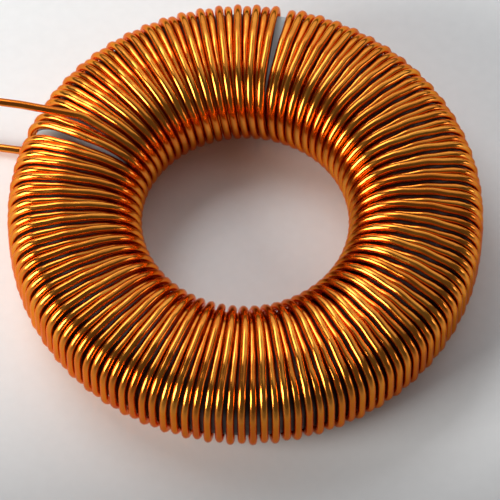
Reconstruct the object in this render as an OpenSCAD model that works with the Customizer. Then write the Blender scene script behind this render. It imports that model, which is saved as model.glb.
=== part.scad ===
/* [Core] */
// Outer diameter of the coated ring
core_od = 46.6; // [38:0.2:60]
// Diameter of the ring's hole
core_id = 24.2; // [20:0.2:28]
// Height of the ring along its axis; its inner edges are fully round
core_h = 8.4; // [8:0.2:14]
// Radius of the ring's outer edges
core_edge = 2.8; // [1:0.1:4]

/* [Wire] */
// Diameter of the wire over its enamel
wire_d = 0.82; // [0.5:0.02:1]
// Least space between neighbouring turns on the outer wall
turn_gap = 0.25; // [0.1:0.01:1]
// Space between wire and core, and between the two layers in the hole
wire_clear = 0.05; // [0.02:0.01:0.1]

/* [Winding] */
// Angle round the ring of the first pass up through the hole
first_turn = 152.3; // [0:0.1:360]
// Angle from the first pass up through the hole to the last one
sweep = 357.4; // [180:0.1:357.4]
// Share by which the turns crowd together at the back of the ring, and spread at the front
crowding = 0.06; // [0:0.01:0.12]
// Extra angle between the first pass and the second
first_gap = 0.6; // [0:0.1:4]
// Extra angle left bare after the first turns
near_gap = 0.6; // [0:0.1:6]
// Angle by which the turns after that bare place swing away from it
near_swing = 2; // [0:0.1:4]
// Turns wound before that bare place
near_gap_turns = 2; // [1:1:10]
// Extra angle left bare before the last turns
far_gap = 1; // [0:0.1:6]
// Angle by which the turns before that bare place swing away from it
far_swing = 2.4; // [0:0.1:4]
// Turns wound after that bare place
far_gap_turns = 29; // [1:1:40]
// Turns over which a swing dies out
swing_turns = 10; // [2:1:20]

/* [Leads] */
// Length of the straight end of each lead, outside the winding
lead_length = 18; // [10:1:40]
// Angle by which both leads turn away from the radius of the first turn
lead_turn = 19; // [5:0.5:30]
// Last part of that angle, which the leads turn past the outer wall
lead_kink = 3; // [1:0.5:15]
// Distance past the outer wall at which they turn by that last part
lead_kink_out = 1.5; // [0.5:0.1:6]
// Distance in from the outer wall at which the first lead, under the ring, turns that way
start_bend_in = 3; // [0:0.1:5]
// Depth of the first lead below the turns beside it
start_drop = 0.55; // [0:0.05:1.5]
// Distance in from the outer wall at which the last lead, over the ring, turns that way
end_bend_in = 5; // [2:0.1:8]
// Bend radius of the leads
lead_bend = 4; // [2:0.5:6]
// Height of the last lead above the crest of the turns beside it
lead_lift = 0.7; // [0:0.1:2]

/* [Hidden] */
$fn = 48;

// Centre line of the wire where it lies on the core
wire_r = wire_d / 2;
stand_off = wire_r + wire_clear;
outer_x = core_od / 2 + stand_off;
bore_x = core_id / 2 - stand_off;
leg_z = core_h / 2 + stand_off;
bend_r = core_edge + stand_off;

// Turns: as many as both the outer wall and the two layers in the hole have room for, and an odd number,
// so that the first pass through the hole is in the lower layer and the last, beside it, in the upper
wound_angle = sweep - first_gap - near_gap - far_gap;
outer_pitch = (wire_d + turn_gap) / outer_x * 180 / PI;
bore_pitch = (wire_d + wire_clear) / (bore_x - wire_d) / 2 / (1 - crowding) * 180 / PI;
turns = 2 * floor((floor(wound_angle / max(outer_pitch, bore_pitch)) + 1) / 2) - 1;
pitch = wound_angle / turns;

// Upper layer: its passes nest between those of the lower one in the hole, and its legs come down to the core
// at the outer wall
half_chord = 2 * (bore_x - wire_d) * sin((1 - crowding) * pitch / 2);
layer_step = sqrt(max(0, pow(wire_d + wire_clear, 2) - pow(half_chord, 2)));
crest_z = leg_z + layer_step;

// Each pass leans forward by the advance of one turn, so that the wire comes straight down the outer wall
lean = atan(outer_x * tan(pitch / 2) / leg_z);
pass_x = leg_z / cos(lean);

// Joints along the wire: bends are a hair thicker than straight stretches, which reach a little way into them
bend_swell = 0.01;
reach = 0.1;

// The ring stands on the lowest wire, a turn or the first lead: its middle is this high above the surface
mid_z = max(crest_z, leg_z + start_drop) + wire_r + bend_swell;

function is_upper(k) = (turns - k) % 2 == 0;
function even_angle(k) = first_turn + k * pitch
    + (k >= 1 ? first_gap : 0)
    + (k >= near_gap_turns ? near_gap : 0)
    + (k > turns - far_gap_turns ? far_gap : 0);
function pass_angle(k) = even_angle(k)
    + crowding * (cos(even_angle(k)) - cos(first_turn)) * 180 / PI;
// Swing of pass k and its legs, by how many turns it is away from a bare place
function fade(n) = n < 0 ? 0 : max(0, 1 - n / swing_turns);
function leg_angle(k) = pass_angle(k) + near_swing * fade(k - near_gap_turns)
    - far_swing * fade(turns - far_gap_turns - k);
function at(r, angle, z) = [r * cos(angle), r * sin(angle), z];
function unit(v) = v / norm(v);

// Pass k and its two legs lie in one leaning plane, with axes outwards and up from where the pass crosses
// the middle of the hole's wall
function along_plane(k, spot) = at(spot[0], leg_angle(k), 0)
    + spot[1] * at(sin(lean), leg_angle(k) + 90, cos(lean));
function on_plane(k, spot) = at(bore_x, pass_angle(k), 0) + along_plane(k, spot);
// Corners below and above pass k in that plane
wall_x = outer_x - bore_x;
function low(k) = k == 0
    ? [wall_x - start_bend_in, -(leg_z + start_drop) / cos(lean)]
    : [wall_x, -leg_z / cos(lean)];
function high(k) = k == turns
    ? [wall_x - end_bend_in, (crest_z + lead_lift) / cos(lean)]
    : [wall_x, leg_z / cos(lean)];
function low_corner(k) = on_plane(k, low(k));
function high_corner(k) = on_plane(k, high(k));

// A bend is its centre, the direction from there to its start, the wire's direction at its start, its radius
// and its angle
function start_of(bend) = bend[0] + bend[3] * bend[1];
function end_of(bend) = bend[0] + bend[3] * (cos(bend[4]) * bend[1] + sin(bend[4]) * bend[2]);

// Pass k up through the hole: a round bend between the straight legs from the corners below and above it
function pass_r(k) = (is_upper(k) ? crest_z : leg_z) / cos(lean);
function touch(k, corner) = let (x = corner[0] - pass_x, y = abs(corner[1]))
    atan2(y, x) + acos(pass_r(k) / norm([x, y]));
function pass(k) = let (from = touch(k, low(k)), to = touch(k, high(k))) [
        on_plane(k, [pass_x, 0]),
        along_plane(k, [cos(from), -sin(from)]),
        along_plane(k, [-sin(from), -cos(from)]),
        pass_r(k),
        360 - from - to
    ];

// Bend of radius r at a corner between two other points of the wire, or as round as there is room for
function turn_at(before, corner, after, r) = let (
        along = unit(corner - before),
        away = unit(after - corner),
        angle = acos(along * away),
        inward = unit(away - (away * along) * along),
        room = min(norm(corner - before), norm(after - corner)) - reach,
        fitted = min(r, room / tan(angle / 2))
    ) [corner - fitted * tan(angle / 2) * along + fitted * inward, -inward, along, fitted, angle];
// Middle of the outer wall between pass k and the next, up to which the bends above and below it have room
function wall_middle(k) = (high_corner(k) + low_corner(k + 1)) / 2;

heading = at(1, first_turn + lead_turn, 0);
first_heading = at(1, first_turn + lead_turn - lead_kink, 0);
start_kink = low_corner(0) + (start_bend_in + lead_kink_out) * first_heading;
end_kink = high_corner(turns) + (end_bend_in + lead_kink_out) * first_heading;
start_tip = start_kink + lead_length * heading;
end_tip = end_kink + lead_length * heading;
bends = [
    turn_at(start_tip, start_kink, low_corner(0), lead_bend),
    turn_at(start_kink, low_corner(0), start_of(pass(0)), lead_bend),
    for (k = [0 : turns - 1]) each [
        pass(k),
        turn_at(end_of(pass(k)), high_corner(k), wall_middle(k), bend_r),
        turn_at(wall_middle(k), low_corner(k + 1), start_of(pass(k + 1)), bend_r)
    ],
    pass(turns),
    turn_at(end_of(pass(turns)), high_corner(turns), end_kink, lead_bend),
    turn_at(high_corner(turns), end_kink, end_tip, lead_bend)
];
last = len(bends);
from_points = concat([start_tip], [for (bend = bends) end_of(bend)]);
to_points = concat([for (bend = bends) start_of(bend)], [end_tip]);

// Places children with their X, Y and Z axes along the given vectors
module on_axes(x, y, z, origin) {
    multmatrix([
        [x[0], y[0], z[0], origin[0]],
        [x[1], y[1], z[1], origin[1]],
        [x[2], y[2], z[2], origin[2]]
    ]) children();
}

// Straight stretch i of the wire, before bend i
module straight(i) {
    along = unit(to_points[i] - from_points[i]);
    from = from_points[i] - (i == 0 ? 0 : reach) * along;
    to = to_points[i] + (i == last ? 0 : reach) * along;
    side = unit(cross(along, abs(along[2]) < 0.9 ? [0, 0, 1] : [1, 0, 0]));
    on_axes(side, cross(along, side), along, from) cylinder(r = wire_r, h = norm(to - from));
}

// Bend i of the wire
module bend(i) {
    bend = bends[i];
    on_axes(bend[1], bend[2], cross(bend[1], bend[2]), bend[0])
        rotate_extrude(angle = bend[4])
            translate([bend[3], 0]) circle(r = wire_r + bend_swell);
}

// Ring of magnetic powder in its smooth coating
module core() {
    width = (core_od - core_id) / 2;
    color("lightsteelblue") translate([0, 0, mid_z]) rotate_extrude()
        translate([core_id / 2, 0]) {
            intersection() {
                translate([core_h / 2, 0]) circle(d = core_h);
                translate([0, -core_h / 2]) square([core_h / 2, core_h]);
            }
            translate([core_h / 2, -core_h / 2]) square([width - core_h / 2 - core_edge, core_h]);
            translate([core_h / 2, core_edge - core_h / 2])
                square([width - core_h / 2, core_h - 2 * core_edge]);
            for (z = [core_edge - core_h / 2, core_h / 2 - core_edge])
                translate([width - core_edge, z]) circle(r = core_edge);
        }
}

// One length of enamelled wire: first lead, turns and last lead, joined up a few turns at a time
module winding() {
    stretch = 48;
    color("darkgoldenrod") translate([0, 0, mid_z])
        for (first = [0 : stretch : last]) union() {
            for (i = [first : min(first + stretch - 1, last)], bent = [false, true])
                if (!bent) straight(i);
                else if (i < last) bend(i);
        }
}

core();
winding();
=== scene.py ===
"""Toroidal inductor: a coated ring core, wound all round with one enamelled copper wire."""

from math import cos, radians, sin

import bpy
import numpy as np
from bpy.props import FloatProperty, FloatVectorProperty, IntProperty, PointerProperty
from mathutils import Matrix, Vector


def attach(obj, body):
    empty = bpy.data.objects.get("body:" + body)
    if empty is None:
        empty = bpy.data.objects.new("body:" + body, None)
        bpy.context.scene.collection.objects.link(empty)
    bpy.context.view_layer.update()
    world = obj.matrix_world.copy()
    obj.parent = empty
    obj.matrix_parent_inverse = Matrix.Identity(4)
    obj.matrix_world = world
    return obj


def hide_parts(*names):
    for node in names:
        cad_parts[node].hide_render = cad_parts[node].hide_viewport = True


bl_info = {
    "name": "Toroidal inductor",
    "version": (1, 0, 0),
    "blender": (4, 5, 0),
    "location": "View3D > Sidebar > Inductor",
    "description": "Winds a coated ring core with enamelled copper wire and lights it in a small studio",
    "category": "Object",
}

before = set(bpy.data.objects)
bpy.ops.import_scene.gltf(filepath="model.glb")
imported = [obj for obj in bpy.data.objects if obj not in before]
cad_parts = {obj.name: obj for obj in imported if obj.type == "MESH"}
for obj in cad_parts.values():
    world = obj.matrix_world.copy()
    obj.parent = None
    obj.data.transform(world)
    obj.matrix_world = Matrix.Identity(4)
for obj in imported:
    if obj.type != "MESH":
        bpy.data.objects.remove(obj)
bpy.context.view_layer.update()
UP = np.array([0.0, 0.0, 1.0])

# Points along a pass, a bend at the outer edge, a kink of a lead and a leg over the ring
PASS_POINTS, BEND_POINTS, KINK_POINTS, LEG_POINTS = 17, 8, 4, 5
# Seed of the uneven turns, and how many times the usual unevenness a turn may have
UNEVEN_SEED, MOST_UNEVEN = 7, 1.6
# Half the width of the floor, and the places along Y where the painted shade on its paper is full and where it has
# faded out, in metres
FLOOR_REACH, SHADE_FRONT, SHADE_BACK = 2.0, -0.05, -0.004
# Lamps: name, angle round the ring and height above the horizon in degrees, distance, width and height in metres,
# brightness and colour
LAMPS = (
    ("window", 205, 17, 0.40, (0.22, 0.28), 12.0, (1.0, 0.98, 0.94)),
    ("right_glow", -8, 7, 0.40, (0.14, 0.09), 3.0, (1.0, 0.87, 0.84)),
    ("back_window", 130, 53, 0.60, (0.36, 0.22), 4.2, (0.98, 0.99, 1.0)),
    ("back_wall", 85, 33, 0.60, (1.60, 0.38), 0.8, (0.97, 0.99, 1.0)),
    ("ceiling", 70, 64, 0.70, (1.10, 0.60), 0.45, (0.98, 0.99, 1.0)),
)
ROOM_COLOUR, ROOM_BRIGHTNESS = (0.95, 0.98, 1.0, 1), 0.1
# Width of the camera's sensor in millimetres, and its nearest and farthest view in metres
SENSOR_WIDTH, NEAREST, FARTHEST = 36, 0.01, 20


def core_sizes():
    """Outer radius, hole radius, height and middle height of the ring: the largest and smallest distance of its
    vertices from the Z axis, and the difference and mean of their largest and smallest height."""
    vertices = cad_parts["core"].data.vertices
    place = np.empty(len(vertices) * 3)
    vertices.foreach_get("co", place)
    x, y, z = place.reshape(-1, 3).T
    rho = np.hypot(x, y)
    return rho.max(), rho.min(), z.max() - z.min(), (z.max() + z.min()) / 2


CORE_OUTER_R, CORE_HOLE_R, CORE_HEIGHT, CORE_MIDDLE = core_sizes()


def length(name, description, default, **limits):
    """A size in metres."""
    return FloatProperty(name=name, description=description, default=default, subtype="DISTANCE", unit="LENGTH",
                         precision=5, **limits)


def angle(name, description, degrees, **limits):
    """An angle, given in degrees."""
    return FloatProperty(name=name, description=description, default=radians(degrees), subtype="ANGLE",
                         unit="ROTATION", **limits)


def tint(name, description, default):
    """A colour."""
    return FloatVectorProperty(name=name, description=description, default=default, subtype="COLOR", size=3,
                               min=0, max=1)


class InductorWinding(bpy.types.PropertyGroup):
    """Sizes of the wire and of the way it is wound."""

    wire_diameter: length("Wire diameter", "Diameter of the wire over its enamel", 0.00082, min=0.0002)
    wire_clearance: length("Clearance", "Space between wire and core", 0.00005, min=0)
    core_edge: length("Core edge", "Radius of the ring's outer edges", 0.0028, min=0.0005)
    turns: IntProperty(name="Turns", description="Full turns round the ring, an odd number", default=137, min=3)
    first_turn: angle("First turn", "Angle round the ring of the first pass up through the hole", 152.3)
    sweep: angle("Sweep", "Angle from the first pass to the last one", 357.4)
    crowding: FloatProperty(name="Crowding", description="Share by which the turns crowd together at the back",
                            default=0.06, min=0, max=0.12, subtype="FACTOR")
    first_gap: angle("First gap", "Extra angle between the first pass and the second", 0.6)
    near_gap: angle("Near gap", "Extra angle left bare after the first turns", 0.6)
    near_swing: angle("Near swing", "Angle by which the turns after the near gap swing away from it", 2)
    near_gap_turns: IntProperty(name="Turns before", description="Turns wound before the near gap", default=2, min=1)
    far_gap: angle("Far gap", "Extra angle left bare before the last turns", 1)
    far_swing: angle("Far swing", "Angle by which the turns before the far gap swing away from it", 2.4)
    far_gap_turns: IntProperty(name="Turns after", description="Turns wound after the far gap", default=29, min=1)
    swing_turns: IntProperty(name="Swing turns", description="Turns over which a swing dies out", default=10, min=1)
    pairing: angle("Pairing", "Angle by which the turns lie closer together two by two", 0.1, min=0)
    unevenness: angle("Unevenness", "How far single turns lean away from the even winding", 0.1, min=0)
    lead_length: length("Lead length", "Length of the straight end of each lead", 0.018, min=0.002)
    lead_turn: angle("Lead turn", "Angle by which the leads turn away from the first turn's radius", 19)
    lead_kink: angle("Lead kink", "Last part of that angle, which the leads turn past the outer wall", 3)
    lead_kink_out: length("Kink, out", "Distance past the outer wall at which they turn by that part", 0.0015)
    start_bend_in: length("First bend", "Distance in from the outer wall at which the first lead bends", 0.003)
    start_drop: length("First drop", "Depth of the first lead below the turns beside it", 0.00055, min=0)
    end_bend_in: length("Last bend", "Distance in from the outer wall at which the last lead bends", 0.005)
    lead_bend: length("Lead bend", "Bend radius of the leads", 0.004, min=0.001)
    lead_lift: length("Lead lift", "Height of the last lead above the crest of the turns", 0.0007, min=0)
    bow: length("Bow", "Height by which the legs over the ring bow between their bends", 0.00025, min=0)
    tip_chamfer: FloatProperty(name="Tip chamfer", description="Chamfer of the cut tips, in wire diameters",
                               default=0.12, min=0, max=0.4, subtype="FACTOR")
    sides: IntProperty(name="Sides", description="Faces round the wire", default=16, min=6)


class InductorFinish(bpy.types.PropertyGroup):
    """Colours of the wire, the core and the floor."""

    enamel: tint("Enamel", "Colour of the copper seen through its enamel", (0.92, 0.36, 0.045))
    enamel_deep: tint("Thick enamel", "Colour where the enamel is thicker", (0.70, 0.17, 0.012))
    enamel_flank: tint("Enamel, flank", "Tint of the wire where it is seen at a grazing angle", (1.0, 0.40, 0.15))
    copper: tint("Copper", "Colour of the bare copper at the cut ends", (0.93, 0.52, 0.36))
    coating: tint("Coating", "Colour of the core's coating", (0.55, 0.64, 0.67))
    coating_deep: tint("Coating, darker", "Colour of the coating's darker patches", (0.43, 0.51, 0.55))
    # Painted shade: the near-black colour painted on the core between the turns, where shade falls.
    painted_shade: tint("Varnish", "Colour of the varnish-stained coating between the turns", (0.030, 0.012, 0.006))
    bare_width: angle("Bare width", "Width of each bare place round the ring", 4.4, min=0)
    floor: tint("Floor", "Colour of the paper behind the ring", (0.94, 0.95, 0.96))
    # Painted shade: the paper's colour well in front of the ring, darker because less light falls there.
    floor_front_shade: tint("Floor, front", "Colour that the graded paper has well in front of the ring", (0.20, 0.20, 0.21))
    floor_grain: tint("Floor, grain", "Shade of the paper's grain", (0.94, 0.94, 0.94))


class InductorStudio(bpy.types.PropertyGroup):
    """Place of the camera."""

    elevation: angle("Elevation", "Height of the camera above the horizon", 61.5)
    distance: length("Distance", "Distance of the camera from the ring's middle", 0.48, min=0.1)
    lens: FloatProperty(name="Lens", description="Focal length", default=339.4, min=10, subtype="DISTANCE_CAMERA")
    aim_right: length("Aim, right", "Distance of the view's middle to the right of the ring's middle", 0.00047)
    aim_down: length("Aim, down", "Distance of the view's middle below the ring's middle", 0.00296)


def around(radius, turn, height=0.0):
    """Points at a radius, an angle round the Z axis and a height: (r cos t, r sin t, z)."""
    radius, turn, height = np.broadcast_arrays(radius, turn, height)
    return np.stack([radius * np.cos(turn), radius * np.sin(turn), height], -1)


def unit(v):
    """Vectors scaled to length 1."""
    return v / np.linalg.norm(v, axis=-1, keepdims=True)


def arc(centre, out, along, radius, sweep, count):
    """Points and directions on arcs: centre + r (cos t * out + sin t * along), with t from 0 to the sweep."""
    t = np.linspace(0, 1, count) * sweep[:, None]
    c, s = np.cos(t)[..., None], np.sin(t)[..., None]
    out, along = out[:, None], along[:, None]
    return centre[:, None] + radius[:, None, None] * (c * out + s * along), c * along - s * out


def corner_arc(before, corner, after, radius, count):
    """Points and directions on the arcs of given radius that round off the corners between two other points.
    An arc starts radius * tan(sweep / 2) before its corner and turns towards the next point."""
    along, away = unit(corner - before), unit(after - corner)
    sweep = np.arccos((along * away).sum(-1))
    inward = unit(away - (away * along).sum(-1, keepdims=True) * along)
    start = corner - (radius * np.tan(sweep / 2))[:, None] * along
    return arc(start + radius[:, None] * inward, -inward, along, radius, sweep, count)


def pass_angles(w):
    """The pitch, and the angles round the ring of each pass through the hole and of the legs that run out from it.
    Passes are evenly spaced but for three gaps, and crowd together at the back: angle + crowding * cos(angle).
    Legs swing away from the two bare places, less and less with each turn."""
    k = np.arange(w.turns + 1)
    pitch = (w.sweep - w.first_gap - w.near_gap - w.far_gap) / w.turns
    even = (w.first_turn + k * pitch + w.first_gap * (k >= 1) + w.near_gap * (k >= w.near_gap_turns)
            + w.far_gap * (k > w.turns - w.far_gap_turns))
    turn = even + w.crowding * (np.cos(even) - cos(w.first_turn))

    def fade(n):
        return np.where(n < 0, 0.0, np.maximum(0.0, 1 - n / w.swing_turns))

    swing = w.near_swing * fade(k - w.near_gap_turns) - w.far_swing * fade(w.turns - w.far_gap_turns - k)
    return pitch, turn, turn + swing


def bare_places(w):
    """Angles round the ring of the middles of the two bare places, halfway between the legs on either side."""
    pitch, _, leg_turn = pass_angles(w)
    after = np.array([w.near_gap_turns, w.turns - w.far_gap_turns + 1])
    return (leg_turn[after - 1] + leg_turn[after] + pitch) / 2


def bowed_legs(start, end, side, bow):
    """Points and directions on legs from start to end, without these two. A leg bows away from the core by
    bow * sin(pi s) ** 2, with s from 0 to 1 along it, square to the side axis of its turn."""
    run = end - start
    span = np.linalg.norm(run, axis=-1)[:, None, None]
    way, lift = unit(run)[:, None], unit(np.cross(side, run))[:, None]
    s = np.linspace(0, 1, LEG_POINTS + 2)[1:-1, None]
    bow = bow[:, None, None]
    points = start[:, None] + s * run[:, None] + bow * np.sin(np.pi * s) ** 2 * lift
    return points, unit(way + bow * np.pi / span * np.sin(2 * np.pi * s) * lift)


def facing_away(ways, side, lead_points):
    """Directions that face away from the core, square to the wire: the side axis of the turn crossed with the wire's
    direction. Over the points of the first lead they face down instead, and over those of the last lead up, less the
    part along the wire."""
    away = unit(np.cross(side, ways))
    for end, vertical in ((slice(None, lead_points), -UP), (slice(-lead_points, None), UP)):
        away[end] = unit(vertical - (ways[end] @ vertical)[:, None] * ways[end])
    return away


def wire_route(w):
    """Centre line of the wire from tip to tip, as points, directions and the way that faces away from the core.
    Turn k is a bend under the ring's outer edge, a round pass up through the hole, and a bend over the outer edge,
    with straight legs under the ring and bowed ones over it. Pass k and its legs lie in one plane that leans forward
    round the ring. Every second pass is in an upper layer, which nests between the passes of the lower one."""
    stand_off = w.wire_diameter / 2 + w.wire_clearance
    outer_x, bore_x = CORE_OUTER_R + stand_off, CORE_HOLE_R - stand_off
    leg_z = CORE_HEIGHT / 2 + stand_off
    k = np.arange(w.turns + 1)
    pitch, turn, leg_turn = pass_angles(w)
    chord = 2 * (bore_x - w.wire_diameter) * sin((1 - w.crowding) * pitch / 2)
    layer_step = max(0.0, (w.wire_diameter + w.wire_clearance) ** 2 - chord ** 2) ** 0.5
    crest_z = leg_z + layer_step
    even_lean = np.arctan(outer_x * np.tan(pitch / 2) / leg_z)
    inner = (k > 0) & (k < w.turns)
    uneven = np.clip(np.random.default_rng(UNEVEN_SEED).normal(0, 1, len(k)), -MOST_UNEVEN, MOST_UNEVEN)
    lean = even_lean + w.unevenness * uneven * inner
    leg_turn = leg_turn + w.pairing * (-1.0) ** k * inner
    out_axis = around(1.0, leg_turn)
    up_axis = around(np.sin(lean), leg_turn + np.pi / 2, np.cos(lean))
    pass_r = np.where((w.turns - k) % 2 == 0, crest_z, leg_z) / np.cos(lean)
    pass_x = leg_z / np.cos(lean)
    wall_x = outer_x - bore_x
    first, last = k == 0, k == w.turns
    low = np.stack([wall_x - w.start_bend_in * first,
                    (leg_z + w.start_drop * first) / np.cos(lean)], -1)
    high = np.stack([wall_x - w.end_bend_in * last,
                     (leg_z + (layer_step + w.lead_lift) * last) / np.cos(lean)], -1)

    def along_plane(x, y):
        return x[:, None] * out_axis + y[:, None] * up_axis

    def on_plane(x, y):
        return around(bore_x, turn) + along_plane(x, y)

    def touch(corner):
        x, y = corner[:, 0] - pass_x, corner[:, 1]
        return np.arctan2(y, x) + np.arccos(pass_r / np.hypot(x, y))

    low_corner, high_corner = on_plane(low[:, 0], -low[:, 1]), on_plane(high[:, 0], high[:, 1])
    heading = around(1.0, w.first_turn + w.lead_turn)
    first_heading = around(1.0, w.first_turn + w.lead_turn - w.lead_kink)
    start_kink = low_corner[0] + (w.start_bend_in + w.lead_kink_out) * first_heading
    end_kink = high_corner[-1] + (w.end_bend_in + w.lead_kink_out) * first_heading
    start_tip, end_tip = start_kink + w.lead_length * heading, end_kink + w.lead_length * heading

    begin, end = touch(low), touch(high)
    side = np.cross(out_axis, up_axis)
    edge_r = w.core_edge + stand_off
    passes, pass_ways = arc(on_plane(pass_x, k * 0.0), along_plane(np.cos(begin), -np.sin(begin)),
                            along_plane(-np.sin(begin), -np.cos(begin)), pass_r, 2 * np.pi - begin - end, PASS_POINTS)
    lows, low_ways = corner_arc(np.vstack([start_kink, high_corner[:-1]]), low_corner, passes[:, 0],
                                np.where(first, w.lead_bend, edge_r), BEND_POINTS)
    highs, high_ways = corner_arc(passes[:, -1], high_corner, np.vstack([low_corner[1:], end_kink]),
                                  np.where(last, w.lead_bend, edge_r), BEND_POINTS)
    legs, leg_ways = bowed_legs(passes[:, -1], highs[:, 0], side, np.where(last, 0.0, w.bow))
    kinks, kink_ways = corner_arc(np.stack([start_tip, high_corner[-1]]), np.stack([start_kink, end_kink]),
                                  np.stack([low_corner[0], end_tip]), np.full(2, w.lead_bend), KINK_POINTS)

    turns_points = np.concatenate([lows, passes, legs, highs], 1).reshape(-1, 3)
    turns_ways = np.concatenate([low_ways, pass_ways, leg_ways, high_ways], 1).reshape(-1, 3)
    points = np.vstack([start_tip, kinks[0], turns_points, kinks[1], end_tip])
    ways = np.vstack([-heading, kink_ways[0], turns_ways, kink_ways[1], heading])
    tip_points = 1 + KINK_POINTS
    side = np.repeat(side, len(turns_points) // len(k), 0)
    side = np.pad(side, ((tip_points, tip_points), (0, 0)), mode="edge")
    away = facing_away(ways, side, tip_points + BEND_POINTS)
    return points + np.array([0, 0, CORE_MIDDLE]), ways, away


def tube(points, ways, away, radius, sides):
    """Vertices of a round tube: point + r (cos a * away + sin a * (way x away)), with a round each point."""
    a = np.arange(sides) * 2 * np.pi / sides
    across = np.cross(ways, away)
    spoke = np.cos(a)[:, None] * away[:, None] + np.sin(a)[:, None] * across[:, None]
    return points[:, None] + radius[:, None, None] * spoke


def tube_faces(rings, sides):
    """Faces of a tube of rings of vertices: a grid of quads, closed round the tube, and a flat face at each end."""
    i, j = np.meshgrid(np.arange(rings - 1), np.arange(sides), indexing="ij")
    after = (j + 1) % sides
    quads = np.stack([i * sides + j, i * sides + after, (i + 1) * sides + after, (i + 1) * sides + j], -1)
    first, last = np.arange(sides)[::-1], np.arange(sides) + (rings - 1) * sides
    return quads.reshape(-1, 4).tolist() + [first.tolist(), last.tolist()]


def feed(socket, value):
    """Link a socket to another one, or give it a constant. A colour of three parts gets an alpha of 1."""
    if isinstance(value, bpy.types.NodeSocket):
        socket.id_data.links.new(value, socket)
    elif socket.type == "RGBA":
        socket.default_value = (*value, 1)
    else:
        socket.default_value = value


def new_material(name):
    """A new material without nodes, and a maker of its nodes. Settings with a capital are the node's sockets."""
    material = bpy.data.materials.new(name)
    material.use_nodes = True
    tree = material.node_tree
    tree.nodes.clear()

    def node(kind, **settings):
        made = tree.nodes.new("ShaderNode" + kind)
        for key, value in settings.items():
            if key[0].isupper():
                feed(made.inputs[key.replace("_", " ")], value)
            else:
                setattr(made, key, value)
        return made

    return material, node


def reckon(node, operation, *values, clamp=False):
    """The result of a sum on numbers or sockets, if asked for kept between 0 and 1."""
    made = node("Math", operation=operation, use_clamp=clamp)
    for socket, value in zip(made.inputs, values):
        feed(socket, value)
    return made.outputs["Value"]


def ramp_between(node, factor, low, high):
    """A value that runs from low to high as the factor runs from 0 to 1."""
    return node("MapRange", Value=factor, To_Min=low, To_Max=high).outputs["Result"]


def blend(node, factor, first, second, kind="MIX"):
    """A mix of two colours by a factor."""
    made = node("Mix", data_type="RGBA", blend_type=kind)
    # Inputs 0, 6 and 7 and output 2 are the ones for colours
    for index, value in ((0, factor), (6, first), (7, second)):
        feed(made.inputs[index], value)
    return made.outputs[2]


def enamelled_copper(finish):
    """Copper under clear amber enamel: metal with redder flanks, whose tone drifts along the wire, and a thin gloss
    coat."""
    material, node = new_material("enamelled_copper")
    along = node("Attribute", attribute_name="along_wire").outputs["Fac"]
    drift = node("TexNoise", noise_dimensions="1D", W=along, Scale=28.0, Detail=3.0).outputs["Fac"]
    place = node("TexCoord").outputs["Object"]
    fine = node("TexNoise", Vector=place, Scale=1400.0, Detail=2.0).outputs["Fac"]
    mottle = node("TexNoise", Vector=place, Scale=260.0, Detail=3.0).outputs["Fac"]
    # Tone: 1.5 * drift + mottle - 0.75, which is 0.5 where both are at their middle
    tone = reckon(node, "MULTIPLY_ADD", drift, 1.5, reckon(node, "SUBTRACT", mottle, 0.75), clamp=True)
    bump = node("Bump", Strength=0.03, Distance=0.00002, Height=mottle)
    surface = node("BsdfPrincipled", Base_Color=blend(node, tone, finish.enamel, finish.enamel_deep), Metallic=1.0,
                   Roughness=ramp_between(node, fine, 0.14, 0.25), Specular_Tint=finish.enamel_flank,
                   Coat_Weight=0.2, Coat_Roughness=0.06, Coat_IOR=1.55, Normal=bump.outputs["Normal"])
    node("OutputMaterial", Surface=surface.outputs["BSDF"])
    return material


def cut_copper(finish):
    """Freshly cut copper: bright metal with the fine lines that a cutter leaves."""
    material, node = new_material("cut_copper")
    place = node("TexCoord").outputs["Object"]
    lines = node("TexWave", Vector=place, Scale=2600.0, Distortion=3.0, Detail=1.0).outputs["Fac"]
    bump = node("Bump", Strength=0.2, Distance=0.00001, Height=lines)
    dull = tuple(0.8 * part for part in finish.copper)
    surface = node("BsdfPrincipled", Base_Color=blend(node, lines, finish.copper, dull), Metallic=1.0,
                   Roughness=ramp_between(node, lines, 0.28, 0.42), Normal=bump.outputs["Normal"])
    node("OutputMaterial", Surface=surface.outputs["BSDF"])
    return material


def core_coating(finish, places):
    """Sprayed coating: smooth paint with a faint orange peel and soft patches. It is pale at the bare places, at the
    given angles, and painted near-black everywhere else, as painted shade between the turns."""
    material, node = new_material("core_coating")
    place = node("TexCoord").outputs["Object"]
    patches = node("TexNoise", Vector=place, Scale=180.0, Detail=4.0).outputs["Fac"]
    peel = node("TexNoise", Vector=place, Scale=2200.0, Detail=1.0).outputs["Fac"]
    bump = node("Bump", Strength=0.15, Distance=0.00003, Height=peel)
    paint = blend(node, patches, finish.coating, finish.coating_deep)
    # The radial gradient runs from 0 to 1 as the angle runs from -180 to 180 degrees
    round_ring = node("TexGradient", gradient_type="RADIAL", Vector=place).outputs["Fac"]
    half_width = finish.bare_width / (4 * np.pi)
    bare = 0.0
    for middle in (places / (2 * np.pi) + 0.5) % 1:
        bare = reckon(node, "MAXIMUM", reckon(node, "COMPARE", round_ring, middle, half_width), bare)
    # Everywhere but the bare places the coating gets the near-black painted shade between the turns.
    surface = node("BsdfPrincipled", Base_Color=blend(node, bare, finish.painted_shade, paint),
                   Roughness=ramp_between(node, peel, 0.32, 0.46), Normal=bump.outputs["Normal"])
    node("OutputMaterial", Surface=surface.outputs["BSDF"])
    return material


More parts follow.
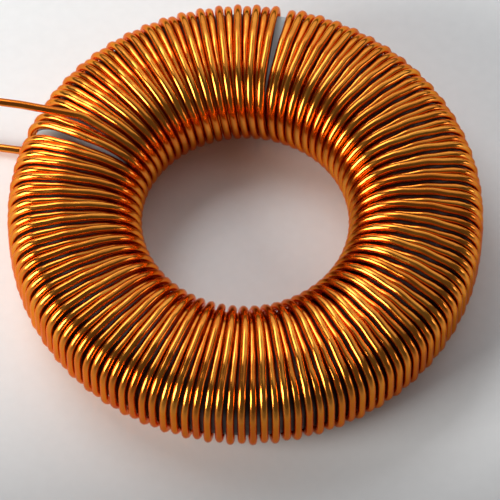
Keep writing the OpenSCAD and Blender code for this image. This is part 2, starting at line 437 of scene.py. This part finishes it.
def paper_with_painted_shade(finish):
    """Paper with a faint grain and painted shade: it runs from a darker front colour, painted shade, to its own
    colour, close to the ring's middle.
    """
    material, node = new_material("paper_with_painted_shade")
    place = node("TexCoord").outputs["Object"]
    grain = node("TexNoise", Vector=place, Scale=900.0, Detail=3.0).outputs["Fac"]
    # Painted shade: the paper darkens towards the front of the ring.
    back = node("MapRange", interpolation_type="SMOOTHSTEP", From_Min=SHADE_FRONT, From_Max=SHADE_BACK,
                Value=node("SeparateXYZ", Vector=place).outputs["Y"]).outputs["Result"]
    shaded = blend(node, back, finish.floor_front_shade, finish.floor)
    surface = node("BsdfPrincipled", Base_Color=blend(node, grain, shaded, finish.floor_grain, "MULTIPLY"),
                   Roughness=0.8, Specular_IOR_Level=0.2)
    node("OutputMaterial", Surface=surface.outputs["BSDF"])
    return material


def wire_mesh(w):
    """Mesh of the wire, with each point's distance along it. Its last two faces are the cut tips, which have a small
    chamfer: the end face, and a ring a little way in at full radius."""
    points, ways, away = wire_route(w)
    chamfer = w.tip_chamfer * w.wire_diameter
    points = np.vstack([points[:1], points[:1] + chamfer * ways[:1], points[1:-1],
                        points[-1:] - chamfer * ways[-1:], points[-1:]])
    ways, away = np.vstack([ways[:1], ways, ways[-1:]]), np.vstack([away[:1], away, away[-1:]])
    radius = np.full(len(points), w.wire_diameter / 2)
    radius[[0, -1]] -= chamfer
    rings = tube(points, ways, away, radius, w.sides)
    mesh = bpy.data.meshes.new("enamelled_wire")
    mesh.from_pydata(rings.reshape(-1, 3).tolist(), [], tube_faces(len(points), w.sides))
    is_tip = np.arange(len(mesh.polygons)) >= len(mesh.polygons) - 2
    mesh.polygons.foreach_set("use_smooth", ~is_tip)
    mesh.polygons.foreach_set("material_index", is_tip.astype(np.int32))
    along = np.concatenate([[0], np.cumsum(np.linalg.norm(np.diff(points, axis=0), axis=1))])
    mesh.attributes.new("along_wire", "FLOAT", "POINT").data.foreach_set("value", np.repeat(along, w.sides))
    mesh.update()
    if mesh.validate():
        raise RuntimeError("the wire's mesh has faulty faces")
    return mesh


class INDUCTOR_OT_wind_wire(bpy.types.Operator):
    """Wind the enamelled wire round the core, from the tip of one lead to the tip of the other"""

    bl_idname = "inductor.wind_wire"
    bl_label = "Wind the wire"

    def execute(self, context):
        finish = context.scene.inductor_finish
        mesh = wire_mesh(context.scene.inductor_winding)
        mesh.materials.append(enamelled_copper(finish))
        mesh.materials.append(cut_copper(finish))
        wire = bpy.data.objects.new("enamelled_wire", mesh)
        context.scene.collection.objects.link(wire)
        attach(wire, "root")
        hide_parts("winding")
        return {"FINISHED"}


class INDUCTOR_OT_coat_core(bpy.types.Operator):
    """Give the ring core its sprayed coating"""

    bl_idname = "inductor.coat_core"
    bl_label = "Coat the core"

    def execute(self, context):
        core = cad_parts["core"]
        core.data.materials.clear()
        core.data.materials.append(core_coating(context.scene.inductor_finish,
                                                bare_places(context.scene.inductor_winding)))
        return {"FINISHED"}


def look_along(back):
    """Rotation of a camera or lamp that looks against the given direction, with its own Y axis upwards."""
    return (-Vector(back)).to_track_quat("-Z", "Y").to_matrix().to_4x4()


def softbox(scene, name, turn, elevation, distance, size, brightness, colour):
    """A rectangular lamp that faces the ring from an angle round it and a height above the horizon.
    Its power gives the stated brightness: watts = pi * area * brightness."""
    lamp = bpy.data.lights.new(name, "AREA")
    lamp.shape = "RECTANGLE"
    lamp.size, lamp.size_y = size
    lamp.energy = np.pi * size[0] * size[1] * brightness
    lamp.color = colour
    box = bpy.data.objects.new(name, lamp)
    t, e = radians(turn), radians(elevation)
    back = Vector((cos(t) * cos(e), sin(t) * cos(e), sin(e)))
    box.matrix_world = Matrix.Translation(back * distance) @ look_along(back)
    scene.collection.objects.link(box)


def lay_floor(scene):
    """A wide floor of paper under the ring, painted with shade towards the front."""
    mesh = bpy.data.meshes.new("floor")
    corners = [(FLOOR_REACH * x, FLOOR_REACH * y, 0) for x, y in ((-1, -1), (1, -1), (1, 1), (-1, 1))]
    mesh.from_pydata(corners, [], [(0, 1, 2, 3)])
    mesh.materials.append(paper_with_painted_shade(scene.inductor_finish))
    floor = bpy.data.objects.new("floor", mesh)
    scene.collection.objects.link(floor)


def light_room(scene):
    """The lamps, and a faint even light from all round."""
    for lamp in LAMPS:
        softbox(scene, *lamp)
    world = bpy.data.worlds.new("studio")
    world.use_nodes = True
    background = world.node_tree.nodes["Background"]
    background.inputs["Color"].default_value = ROOM_COLOUR
    background.inputs["Strength"].default_value = ROOM_BRIGHTNESS
    scene.world = world
    scene.view_settings.view_transform = "Standard"


def set_camera(scene):
    """A camera in front of the ring that looks down at it, shifted sideways and down in its own view."""
    s = scene.inductor_studio
    lens = bpy.data.cameras.new("camera")
    lens.sensor_width, lens.lens = SENSOR_WIDTH, s.lens
    lens.clip_start, lens.clip_end = NEAREST, FARTHEST
    camera = bpy.data.objects.new("camera", lens)
    back = Vector((0, -cos(s.elevation), sin(s.elevation)))
    right, up = Vector((1, 0, 0)), Vector((0, sin(s.elevation), cos(s.elevation)))
    place = Vector((0, 0, CORE_MIDDLE)) + s.aim_right * right - s.aim_down * up + s.distance * back
    camera.matrix_world = Matrix.Translation(place) @ look_along(back)
    scene.collection.objects.link(camera)
    scene.camera = camera


class INDUCTOR_OT_set_stage(bpy.types.Operator):
    """Set up the floor, the lamps and the camera"""

    bl_idname = "inductor.set_stage"
    bl_label = "Set the stage"

    def execute(self, context):
        lay_floor(context.scene)
        light_room(context.scene)
        set_camera(context.scene)
        return {"FINISHED"}


class INDUCTOR_PT_sidebar(bpy.types.Panel):
    """The inductor's steps and sizes"""

    bl_idname = "INDUCTOR_PT_sidebar"
    bl_label = "Toroidal inductor"
    bl_space_type = "VIEW_3D"
    bl_region_type = "UI"
    bl_category = "Inductor"

    def draw(self, context):
        for step in STEPS:
            self.layout.operator(step.bl_idname)
        for group, settings in SETTINGS.items():
            box = self.layout.box()
            for name in settings.__annotations__:
                box.prop(getattr(context.scene, group), name)


SETTINGS = {"inductor_winding": InductorWinding, "inductor_finish": InductorFinish, "inductor_studio": InductorStudio}
STEPS = (INDUCTOR_OT_coat_core, INDUCTOR_OT_wind_wire, INDUCTOR_OT_set_stage)
CLASSES = (*SETTINGS.values(), *STEPS, INDUCTOR_PT_sidebar)


def register():
    """Add the classes and their settings to Blender."""
    for made in CLASSES:
        bpy.utils.register_class(made)
    for name, group in SETTINGS.items():
        setattr(bpy.types.Scene, name, PointerProperty(type=group))


def unregister():
    """Take the classes and their settings out of Blender."""
    for name in SETTINGS:
        delattr(bpy.types.Scene, name)
    for made in reversed(CLASSES):
        bpy.utils.unregister_class(made)


def main():
    """Dress the core, wind the wire and set the stage."""
    register()
    bpy.ops.inductor.coat_core()
    bpy.ops.inductor.wind_wire()
    bpy.ops.inductor.set_stage()


if __name__ == "__main__":
    main()
